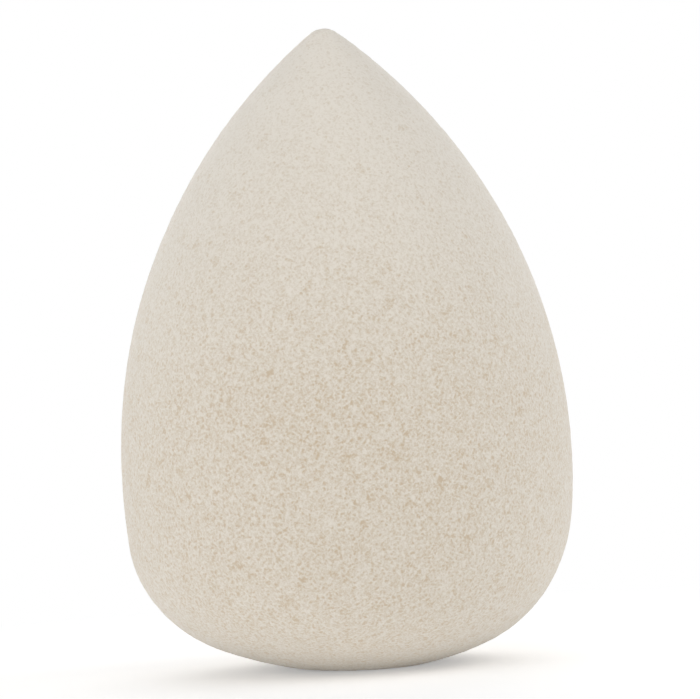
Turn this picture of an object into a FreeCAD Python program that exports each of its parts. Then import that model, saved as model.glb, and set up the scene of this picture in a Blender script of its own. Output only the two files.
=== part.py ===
"""Teardrop makeup sponge: one block of soft open-cell foam, shaped to a blunt tip over a domed base.

Millimetres, +Z up along the sponge's axis. The origin is the centre of the flat that it stands on.
"""
import FreeCAD, Part
import math
import os

# Driving dimensions of the dry sponge
BODY_HEIGHT = 60.0      # resting flat to the top of the tip
BODY_DIAMETER = 42.4    # across the belly, where the sponge is widest
BELLY_HEIGHT = 18.9     # resting flat to the widest section
TIP_RADIUS = 2.1        # blunt round end of the point
HEEL_RADIUS = 13.4      # turn from the belly into the base
BASE_RADIUS = 33.0      # shallow dome of the base
REST_DEPTH = 0.5        # how much of the dome presses flat where the sponge stands

UP = FreeCAD.Vector(0, 0, 1)
STRAIGHT_UP = math.pi / 2
FULL_TURN = 360


def spot(radius, height):
    """A point of the half outline, by its distance from the axis and its height."""
    return FreeCAD.Vector(radius, 0, height)


def bearing(start, end):
    """Angle above +X of the line from one point of the half outline to another."""
    return math.atan2(end.z - start.z, end.x - start.x)


def arc(centre, radius, first, last):
    """An arc of the half outline, between two angles above +X."""
    angles = (first, (first + last) / 2, last)
    points = [centre + spot(radius * math.cos(a), radius * math.sin(a)) for a in angles]
    return Part.Arc(*points).toShape()


def flank_radius():
    """Radius of the arc that stands upright at the belly and runs smoothly into the round tip."""
    belly_radius = BODY_DIAMETER / 2
    rise = BODY_HEIGHT - TIP_RADIUS - BELLY_HEIGHT
    return (belly_radius**2 + rise**2 - TIP_RADIUS**2) / (2 * (belly_radius - TIP_RADIUS))


def heel_centre(flank, flank_size, base):
    """Centre of the heel arc, which touches both the flank arc and the base dome from inside."""
    from_flank = flank_size - HEEL_RADIUS
    from_base = BASE_RADIUS - HEEL_RADIUS
    span = flank.distanceToPoint(base)
    along = (from_flank**2 - from_base**2 + span**2) / (2 * span)
    aside = math.sqrt(from_flank**2 - along**2)
    line = (base - flank).normalize()
    outward = spot(line.z, -line.x)
    return flank + line * along + outward * aside


def half_outline():
    """Closed half section: resting flat, base dome, heel, flank, round tip and the axis."""
    flank_size = flank_radius()
    flank = spot(BODY_DIAMETER / 2 - flank_size, BELLY_HEIGHT)
    base = spot(0, BASE_RADIUS - REST_DEPTH)
    heel = heel_centre(flank, flank_size, base)
    tip = spot(0, BODY_HEIGHT - TIP_RADIUS)
    foot = spot(0, 0)
    foot_edge = spot(math.sqrt(BASE_RADIUS**2 - base.z**2), 0)
    peak = spot(0, BODY_HEIGHT)
    return Part.Wire([
        Part.LineSegment(foot, foot_edge).toShape(),
        arc(base, BASE_RADIUS, bearing(base, foot_edge), bearing(base, heel)),
        arc(heel, HEEL_RADIUS, bearing(base, heel), bearing(flank, heel)),
        arc(flank, flank_size, bearing(flank, heel), bearing(flank, tip)),
        arc(tip, TIP_RADIUS, bearing(flank, tip), STRAIGHT_UP),
        Part.LineSegment(peak, foot).toShape(),
    ])


def sponge_body():
    """The whole sponge, its half outline turned about the axis."""
    return Part.Face(half_outline()).revolve(spot(0, 0), UP, FULL_TURN)


os.makedirs("parts", exist_ok=True)
sponge_body().exportStep("parts/sponge_body.step")
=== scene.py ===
"""Looks of the makeup sponge: a teardrop of fine open-cell foam, on a pale floor in soft studio light.

Metres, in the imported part's frame: +Z up, the origin under the middle of the base, the front towards -Y.
"""
import math

import bpy
import numpy as np
from mathutils import Matrix, Vector, noise


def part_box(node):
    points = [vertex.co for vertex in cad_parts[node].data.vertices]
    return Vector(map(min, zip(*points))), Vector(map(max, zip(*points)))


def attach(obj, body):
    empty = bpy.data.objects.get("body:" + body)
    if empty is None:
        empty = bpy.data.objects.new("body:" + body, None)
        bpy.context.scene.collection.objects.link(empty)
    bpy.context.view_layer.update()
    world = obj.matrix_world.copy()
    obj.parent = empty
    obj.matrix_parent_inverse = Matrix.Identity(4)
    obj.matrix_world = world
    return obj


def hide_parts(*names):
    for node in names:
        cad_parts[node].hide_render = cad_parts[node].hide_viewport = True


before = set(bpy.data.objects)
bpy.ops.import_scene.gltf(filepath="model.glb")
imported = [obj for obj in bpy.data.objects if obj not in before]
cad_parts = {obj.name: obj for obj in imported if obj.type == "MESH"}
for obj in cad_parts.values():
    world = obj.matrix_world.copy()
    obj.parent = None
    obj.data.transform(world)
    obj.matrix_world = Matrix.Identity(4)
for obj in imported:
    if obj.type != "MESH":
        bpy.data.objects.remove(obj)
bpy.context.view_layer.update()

MM = 0.001

# Form of the sponge: its box comes from the frame, and the rest repeats the part's outline
NODE = "sponge_body"
BELLY_HEIGHT = 18.9 * MM
TIP_RADIUS = 2.1 * MM
HEEL_RADIUS = 13.4 * MM
BASE_RADIUS = 33.0 * MM
REST_DEPTH = 0.5 * MM

# Small unevenness of the photographed sponge
BASE_SLANT = 0.0185             # drop of the base per metre to the right
BASE_SLANT_REACH = 3.6 * MM     # height over which the slant fades out
SIDE_SHIFT = 0.13 * MM          # how far the lower side lies to the left
SIDE_SHIFT_HEIGHT = 9.5 * MM
SIDE_SHIFT_REACH = 3.5 * MM
SWELL_DEPTH = 0.06 * MM         # slow waves of the whole surface
SWELL_LENGTH = 14.0 * MM

# Foam grain that is real relief in the mesh
MESH_DIVISIONS = 128
WELD_DIGITS = 7                 # decimal places in which welded corners agree
GRAIN_LENGTH = 0.50 * MM
GRAIN_DEPTH = 0.06 * MM
GRAIN_CONTRAST = 0.6
COARSE_GRAIN_SHARE = 0.35       # weight of the grain that is twice as long

# Foam grain that is colour and fine bump; the pores' darker, tanner colour is partly painted shade
PORE_LENGTH = 0.27 * MM
WALL_LENGTH = 0.36 * MM
STRAND_LENGTH = 0.8 * MM
BLOTCH_LENGTH = 9.0 * MM
BIG_PORE_LENGTH = 1.3 * MM      # spacing noise of the few larger pores
BIG_PORE_RANGE = (0.28, 0.23)   # values of that noise at a larger pore's rim and floor
BIG_PORE_SHARE = 0.13
PORE_DETAIL = 1.3               # finer octaves of the pores, and their weight
PORE_FINENESS = 0.9
BLOTCH_DETAIL = 2.0
GRAIN_WARP = 0.3                # how far the grain's noise is bent
WALL_SHARE = 0.8                # weights of the walls, strands, lumps and blotches beside the pores
STRAND_SHARE = 0.11
LUMP_SHARE = 0.1
BLOTCH_SHARE = 0.05
STRAND_WIDTH = 0.07             # half width of a strand, as a share of its noise's range
WALL_TONE, PORE_TONE = 0.655, 0.18  # tones of a wall's top and of a deep pore
TIP_HIGHLIGHT_HEIGHTS = (26 * MM, 58 * MM)  # heights between which the tip is painted lighter and smoother
TIP_HIGHLIGHT_LIFT = 0.19              # painted highlight: how much of the tone's range is lifted at the tip
TIP_HIGHLIGHT_PORE_SHARE = 0.72                # share of the pores' darkness that is left at the tip, as painted highlight
BUMP_DEPTH = 0.08 * MM
BUMP_STRENGTH = 0.35
LATTICE_TURN = (0.6, 0.5, 0.4)  # turns the noise's lattice away from the sponge's axes

# Foam's cream and the painted shade in its pores: colours from the walls' tops down to the deepest pores,
# which are drawn darker and tanner as painted shade
FOAM_AND_PORE_SHADE_COLOURS = (
    (0.0, (224, 218, 208)),
    (0.4, (215, 207, 194)),
    (0.7, (208, 196, 177)),
    (1.0, (199, 180, 152)),
)
FOAM_ROUGHNESS = (0.85, 1.0)
FUZZ_TINT = (1.0, 0.97, 0.92, 1)

# Photograph's framing
IMAGE_WIDTH, IMAGE_HEIGHT = 700, 699
PIXELS_PER_MM = 10.65
AXIS_PIXEL = (340.5, 347.6)     # where the middle of the sponge's axis lies in the photograph
LEAN = math.radians(3.15)       # the sponge's tip leans left in the photograph
CAMERA_DISTANCE = 0.7
CAMERA_ELEVATION = math.radians(2.5)
SENSOR_WIDTH = 36.0

# White floor and the lamps' aim
FLOOR_REACH = 3.0
FLOOR_WHITE = (0.95, 0.95, 0.95, 1)
FLOOR_LIFT = 0.32               # what brings the lit floor up to white where it is seen
FLOOR_FADE = (25 * MM, 80 * MM)  # distances between which the floor turns into the white background
LAMP_AIM_HEIGHT = 30 * MM

OUTLINE_SAMPLES = 400
SHORTEST_STEP = 1e-12           # keeps the outline's repeated points from dividing by nought
UV_NAME = "OFBake"
UV_MARGIN = 0.004
UV_COLUMNS, UV_ROWS = 3, 2      # the six square grids' tiles


def bearing(start, end):
    """Angle above +X of the line between two points of the half outline."""
    return math.atan2(end[1] - start[1], end[0] - start[0])


def arc_points(centre, radius, first, last):
    """Points along an arc of the half outline, between two angles above +X."""
    angles = np.linspace(first, last, OUTLINE_SAMPLES)
    return np.column_stack((centre[0] + radius * np.cos(angles), centre[1] + radius * np.sin(angles)))


def half_outline(belly_radius, height):
    """Half outline from the middle of the base to the tip: flat, base dome, heel, flank and tip."""
    rise = height - TIP_RADIUS - BELLY_HEIGHT
    flank_size = (belly_radius**2 + rise**2 - TIP_RADIUS**2) / (2 * (belly_radius - TIP_RADIUS))
    flank = np.array([belly_radius - flank_size, BELLY_HEIGHT])
    base = np.array([0.0, BASE_RADIUS - REST_DEPTH])
    tip = np.array([0.0, height - TIP_RADIUS])
    from_flank = flank_size - HEEL_RADIUS
    span = np.linalg.norm(base - flank)
    line = (base - flank) / span
    along = (from_flank**2 - (BASE_RADIUS - HEEL_RADIUS)**2 + span**2) / (2 * span)
    aside = math.sqrt(from_flank**2 - along**2)
    heel = flank + line * along + np.array([line[1], -line[0]]) * aside
    foot_edge = np.array([math.sqrt(BASE_RADIUS**2 - base[1]**2), 0.0])
    flat = np.column_stack((np.linspace(0, foot_edge[0], OUTLINE_SAMPLES), np.zeros(OUTLINE_SAMPLES)))
    return np.vstack((
        flat,
        arc_points(base, BASE_RADIUS, bearing(base, foot_edge), bearing(base, heel)),
        arc_points(heel, HEEL_RADIUS, bearing(base, heel), bearing(flank, heel)),
        arc_points(flank, flank_size, bearing(flank, heel), bearing(flank, tip)),
        arc_points(tip, TIP_RADIUS, bearing(flank, tip), math.pi / 2),
    ))


def cube_sphere(divisions):
    """Unit directions, quads and bake UVs of a sphere made of six even square grids."""
    steps = np.tan(np.linspace(-1, 1, divisions + 1) * math.pi / 4)
    u, v = np.meshgrid(steps, steps, indexing="ij")
    one = np.ones_like(u)
    sides = ((u, v, one), (v, u, -one), (one, u, v), (-one, v, u), (v, one, u), (u, -one, v))
    points = np.vstack([np.column_stack([c.ravel() for c in side]) for side in sides])
    points /= np.linalg.norm(points, axis=1, keepdims=True)
    rounded = np.round(points, WELD_DIGITS)
    _, first, welded = np.unique(rounded, axis=0, return_index=True, return_inverse=True)
    row = divisions + 1
    corner = (np.arange(divisions)[:, None] * row + np.arange(divisions)).ravel()
    quad = np.column_stack((corner, corner + row, corner + row + 1, corner + 1))
    quads = np.vstack([quad + k * row * row for k in range(len(sides))])
    share = np.linspace(UV_MARGIN, 1 - UV_MARGIN, row)
    s, t = np.meshgrid(share, share, indexing="ij")
    tiles = []
    for k in range(len(sides)):
        column, line = k % UV_COLUMNS, k // UV_COLUMNS
        tiles.append(np.column_stack(((s.ravel() + column) / UV_COLUMNS, (t.ravel() + line) / UV_ROWS)))
    return points[first], welded.ravel()[quads], np.vstack(tiles)[quads.ravel()]


def on_outline(directions, outline):
    """Each direction's place on the turned outline, spread evenly by area, and the normal there."""
    step = np.diff(outline, axis=0)
    length = np.hypot(step[:, 0], step[:, 1])
    band = (outline[1:, 0] + outline[:-1, 0]) * length
    area = np.concatenate(([0.0], np.cumsum(band)))
    share = (1 + directions[:, 2]) / 2 * area[-1]
    radius = np.interp(share, area, outline[:, 0])
    height = np.interp(share, area, outline[:, 1])
    mid = (area[1:] + area[:-1]) / 2
    length = np.maximum(length, SHORTEST_STEP)
    out = np.interp(share, mid, step[:, 1] / length)
    up = np.interp(share, mid, -step[:, 0] / length)
    azimuth = np.arctan2(directions[:, 1], directions[:, 0])
    cos, sin = np.cos(azimuth), np.sin(azimuth)
    places = np.column_stack((radius * cos, radius * sin, height))
    normals = np.column_stack((out * cos, out * sin, up))
    return places, normals / np.linalg.norm(normals, axis=1, keepdims=True)


def made_uneven(places):
    """The photographed sponge's slanted base and its lower side, which lies a little to the left."""
    x, height = places[:, 0], places[:, 2]
    uneven = places.copy()
    uneven[:, 0] -= SIDE_SHIFT * np.exp(-((height - SIDE_SHIFT_HEIGHT) / SIDE_SHIFT_REACH)**2)
    uneven[:, 2] -= BASE_SLANT * x * np.exp(-(height / BASE_SLANT_REACH)**2)
    return uneven


def grain_at(places):
    """Foam grain at each place, from 0 in a pore to 1 on a cell wall."""
    values = np.empty(len(places))
    for i, place in enumerate(places):
        spot = Vector(place) / GRAIN_LENGTH
        values[i] = noise.noise(spot) + COARSE_GRAIN_SHARE * noise.noise(spot / 2)
    return np.clip(0.5 + GRAIN_CONTRAST * values, 0, 1)


def swell_at(places):
    """Slow waves of the surface at each place, from -1 to 1."""
    return np.array([noise.noise(Vector(place) / SWELL_LENGTH) for place in places])


def sponge_mesh():
    """The foam body as one closed mesh, with its grain kept as an attribute."""
    low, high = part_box(NODE)
    outline = half_outline((high.y - low.y) / 2, high.z)
    directions, quads, uvs = cube_sphere(MESH_DIVISIONS)
    places, normals = on_outline(directions, outline)
    grain = grain_at(places)
    relief = (grain - 1) * GRAIN_DEPTH + swell_at(places) * SWELL_DEPTH
    places = made_uneven(places) + normals * relief[:, None]
    places[:, 2] = np.clip(places[:, 2], 0, None)
    mesh = bpy.data.meshes.new("foam_sponge")
    mesh.from_pydata(places.tolist(), [], quads.tolist())
    mesh.polygons.foreach_set("use_smooth", np.ones(len(quads), bool))
    mesh.uv_layers.new(name=UV_NAME).data.foreach_set("uv", uvs.ravel())
    mesh.attributes.new("grain", "FLOAT", "POINT").data.foreach_set("value", grain)
    mesh.update()
    return mesh


class Nodes:
    """A node tree that is written as calls: each makes a node, sets its values and links its inputs."""

    def __init__(self, tree):
        tree.nodes.clear()
        self.tree = tree

    def add(self, kind, inputs=None, **settings):
        node = self.tree.nodes.new(kind)
        for name, value in settings.items():
            setattr(node, name, value)
        for name, value in (inputs or {}).items():
            if isinstance(value, bpy.types.NodeSocket):
                self.tree.links.new(value, node.inputs[name])
            else:
                node.inputs[name].default_value = value
        return node

    def math(self, operation, first, second=0.0):
        return self.add("ShaderNodeMath", {0: first, 1: second}, operation=operation).outputs[0]

    def centred(self, value):
        return self.math("SUBTRACT", value, 0.5)

    def span(self, value, source, target):
        node = self.add("ShaderNodeMapRange", {"Value": value, "From Min": source[0], "From Max": source[1],
                                               "To Min": target[0], "To Max": target[1]})
        return node.outputs["Result"]

    def noise(self, place, length, detail=0.0, roughness=0.5, distortion=0.0):
        node = self.add("ShaderNodeTexNoise", {"Vector": place, "Scale": 1 / length, "Detail": detail,
                                               "Roughness": roughness, "Distortion": distortion})
        return node.outputs["Fac"]

    def ramp(self, factor, stops):
        node = self.add("ShaderNodeValToRGB", {"Fac": factor})
        while len(node.color_ramp.elements) < len(stops):
            node.color_ramp.elements.new(0.5)
        for element, (place, colour) in zip(node.color_ramp.elements, stops):
            element.position = place
            element.color = (*colour, 1)
        return node.outputs["Color"]


def linear(*rgb):
    """Linear colour of an sRGB colour from 0 to 255."""
    return tuple(c / 255 / 12.92 if c <= 10 else ((c / 255 + 0.055) / 1.055)**2.4 for c in rgb)


def foam_material():
    """Cream foam: pale cell walls, tan pores drawn darker as painted shade, a tip painted lighter and
    smoother as painted highlight, and a faint fuzz.
    """
    material = bpy.data.materials.new("cream_foam")
    material.use_nodes = True
    n = Nodes(material.node_tree)
    place = n.add("ShaderNodeTexCoord").outputs["Object"]
    spot = n.add("ShaderNodeVectorRotate", {"Vector": place, "Rotation": LATTICE_TURN},
                 rotation_type="EULER_XYZ").outputs["Vector"]
    up = n.add("ShaderNodeSeparateXYZ", {"Vector": place}).outputs["Z"]
    tone = n.noise(spot, PORE_LENGTH, detail=PORE_DETAIL, roughness=PORE_FINENESS, distortion=GRAIN_WARP)
    off_wall = n.math("ABSOLUTE", n.centred(n.noise(spot, WALL_LENGTH, distortion=GRAIN_WARP)))
    tone = n.math("SUBTRACT", tone, n.math("MULTIPLY", off_wall, WALL_SHARE))
    off_strand = n.math("ABSOLUTE", n.centred(n.noise(spot, STRAND_LENGTH, distortion=GRAIN_WARP)))
    tone = n.math("ADD", tone, n.span(off_strand, (0.0, STRAND_WIDTH), (STRAND_SHARE, 0.0)))
    big_pores = n.noise(spot, BIG_PORE_LENGTH, distortion=GRAIN_WARP)
    tone = n.math("SUBTRACT", tone, n.span(big_pores, BIG_PORE_RANGE, (0.0, BIG_PORE_SHARE)))
    # Painted shade: the colour turns darker where the mesh's relief is low.
    lumps = n.centred(n.add("ShaderNodeAttribute", attribute_name="grain").outputs["Fac"])
    tone = n.math("ADD", tone, n.math("MULTIPLY", lumps, LUMP_SHARE))
    blotches = n.centred(n.noise(spot, BLOTCH_LENGTH, detail=BLOTCH_DETAIL))
    tone = n.math("ADD", tone, n.math("MULTIPLY", blotches, BLOTCH_SHARE))
    # Painted highlight: the tone is lifted and the pores' darkness lessened towards the tip, so the tip is
    # drawn lighter and smoother.
    tone = n.math("ADD", tone, n.span(up, TIP_HIGHLIGHT_HEIGHTS, (0.0, TIP_HIGHLIGHT_LIFT)))
    tip_highlight_fade = n.span(up, TIP_HIGHLIGHT_HEIGHTS, (1.0, TIP_HIGHLIGHT_PORE_SHARE))
    # Painted shade in the pores: the larger this share, the darker and tanner the colour, over the foam's
    # own cream grain; the same share sets the bump and the roughness.
    pore_depth_and_shade = n.math("MULTIPLY", n.span(tone, (WALL_TONE, PORE_TONE), (0.0, 1.0)), tip_highlight_fade)
    colour = n.ramp(pore_depth_and_shade, [(depth_share, linear(*rgb)) for depth_share, rgb in FOAM_AND_PORE_SHADE_COLOURS])
    bump = n.add("ShaderNodeBump", {"Height": pore_depth_and_shade, "Strength": BUMP_STRENGTH, "Distance": BUMP_DEPTH},
                 invert=True)
    shader = n.add("ShaderNodeBsdfPrincipled", {
        "Base Color": colour,
        "Normal": bump.outputs["Normal"],
        "Roughness": n.span(pore_depth_and_shade, (0.0, 1.0), FOAM_ROUGHNESS),
        "Diffuse Roughness": 1.0,
        "Specular IOR Level": 0.1,
        "Sheen Weight": 0.55,
        "Sheen Roughness": 0.8,
        "Sheen Tint": FUZZ_TINT,
    })
    n.add("ShaderNodeOutputMaterial", {"Surface": shader.outputs["BSDF"]})
    return material


def add_sponge():
    """The foam sponge, which stands for the plain solid."""
    sponge = bpy.data.objects.new("foam_sponge", sponge_mesh())
    bpy.context.scene.collection.objects.link(sponge)
    sponge.data.materials.append(foam_material())
    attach(sponge, "root")
    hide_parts(NODE)


def seen_directly(n):
    """1 for what the camera, a reflection or glass sees, 0 for what only lights the scene."""
    path = n.add("ShaderNodeLightPath").outputs
    seen = n.math("MAXIMUM", path["Is Camera Ray"], path["Is Glossy Ray"])
    return n.math("MAXIMUM", seen, path["Is Transmission Ray"])


def floor_material():
    """White floor that takes the shadow near the sponge and fades into the white background."""
    material = bpy.data.materials.new("white_floor")
    material.use_nodes = True
    n = Nodes(material.node_tree)
    seen = seen_directly(n)
    matte = n.add("ShaderNodeBsdfDiffuse", {"Color": FLOOR_WHITE}).outputs["BSDF"]
    glow = n.math("MULTIPLY", seen, FLOOR_LIFT)
    lift = n.add("ShaderNodeEmission", {"Strength": glow}).outputs["Emission"]
    near = n.add("ShaderNodeAddShader", {0: matte, 1: lift}).outputs["Shader"]
    white = n.add("ShaderNodeEmission", {"Strength": 1.0}).outputs["Emission"]
    place = n.add("ShaderNodeTexCoord").outputs["Object"]
    away = n.add("ShaderNodeVectorMath", {0: place}, operation="LENGTH").outputs["Value"]
    fade = {"Value": away, "From Min": FLOOR_FADE[0], "From Max": FLOOR_FADE[1]}
    far = n.add("ShaderNodeMapRange", fade, interpolation_type="SMOOTHSTEP").outputs["Result"]
    mix = n.add("ShaderNodeMixShader", {"Fac": n.math("MULTIPLY", far, seen), 1: near, 2: white})
    n.add("ShaderNodeOutputMaterial", {"Surface": mix.outputs["Shader"]})
    return material


def add_floor():
    """A wide pale floor."""
    corners = [(x * FLOOR_REACH, y * FLOOR_REACH, 0) for x, y in ((-1, -1), (1, -1), (1, 1), (-1, 1))]
    mesh = bpy.data.meshes.new("floor")
    mesh.from_pydata(corners, [], [(0, 1, 2, 3)])
    floor = bpy.data.objects.new("floor", mesh)
    bpy.context.scene.collection.objects.link(floor)
    mesh.materials.append(floor_material())


def add_world(level):
    """Even light from all round, behind a white background."""
    world = bpy.data.worlds.new("studio")
    bpy.context.scene.world = world
    world.use_nodes = True
    n = Nodes(world.node_tree)
    seen = seen_directly(n)
    strength = n.span(seen, (0.0, 1.0), (level, 1.0))
    sky = n.add("ShaderNodeBackground", {"Color": (1, 1, 1, 1), "Strength": strength})
    n.add("ShaderNodeOutputWorld", {"Surface": sky.outputs["Background"]})


def add_softbox(name, place, size, watts):
    """A softbox, wide by high, that faces the middle of the sponge and isn't seen itself."""
    light = bpy.data.lights.new(name, "AREA")
    light.shape = "RECTANGLE"
    light.size, light.size_y = size
    light.energy = watts
    box = bpy.data.objects.new(name, light)
    box.location = place
    aim = Vector((0, 0, LAMP_AIM_HEIGHT)) - Vector(place)
    box.rotation_euler = aim.to_track_quat("-Z", "Y").to_euler()
    box.visible_camera = False
    bpy.context.scene.collection.objects.link(box)


def add_camera():
    """Camera at the photograph's angle and framing, rolled so that the sponge leans as it does there."""
    low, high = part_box(NODE)
    middle = Vector((0, 0, (low.z + high.z) / 2))
    data = bpy.data.cameras.new("camera")
    data.sensor_width = SENSOR_WIDTH
    data.lens = SENSOR_WIDTH * CAMERA_DISTANCE / (IMAGE_WIDTH / PIXELS_PER_MM * MM)
    data.shift_x = (IMAGE_WIDTH / 2 - AXIS_PIXEL[0]) / IMAGE_WIDTH
    data.shift_y = (AXIS_PIXEL[1] - IMAGE_HEIGHT / 2) / IMAGE_WIDTH
    back = Vector((0, -math.cos(CAMERA_ELEVATION), math.sin(CAMERA_ELEVATION)))
    turn = (-back).to_track_quat("-Z", "Y").to_matrix() @ Matrix.Rotation(-LEAN, 3, "Z")
    camera = bpy.data.objects.new("camera", data)
    camera.matrix_world = Matrix.Translation(middle + back * CAMERA_DISTANCE) @ turn.to_4x4()
    bpy.context.scene.collection.objects.link(camera)
    bpy.context.scene.camera = camera


add_sponge()
add_floor()
add_world(level=0.36)
add_softbox("front_strip", place=(0.0, -0.30, 0.013), size=(0.9, 0.025), watts=0.655)
add_softbox("front_softbox", place=(0.0, -0.30, 0.45), size=(0.6, 0.4), watts=0.30)
add_softbox("left_softbox", place=(-0.45, -0.20, 0.16), size=(0.5, 0.3), watts=0.61)
add_softbox("right_softbox", place=(0.50, 0.0, 0.30), size=(0.5, 0.5), watts=0.90)
add_softbox("back_softbox", place=(0.0, 0.50, 0.26), size=(0.5, 0.5), watts=1.6)
add_camera()
bpy.context.scene.view_settings.view_transform = "Standard"
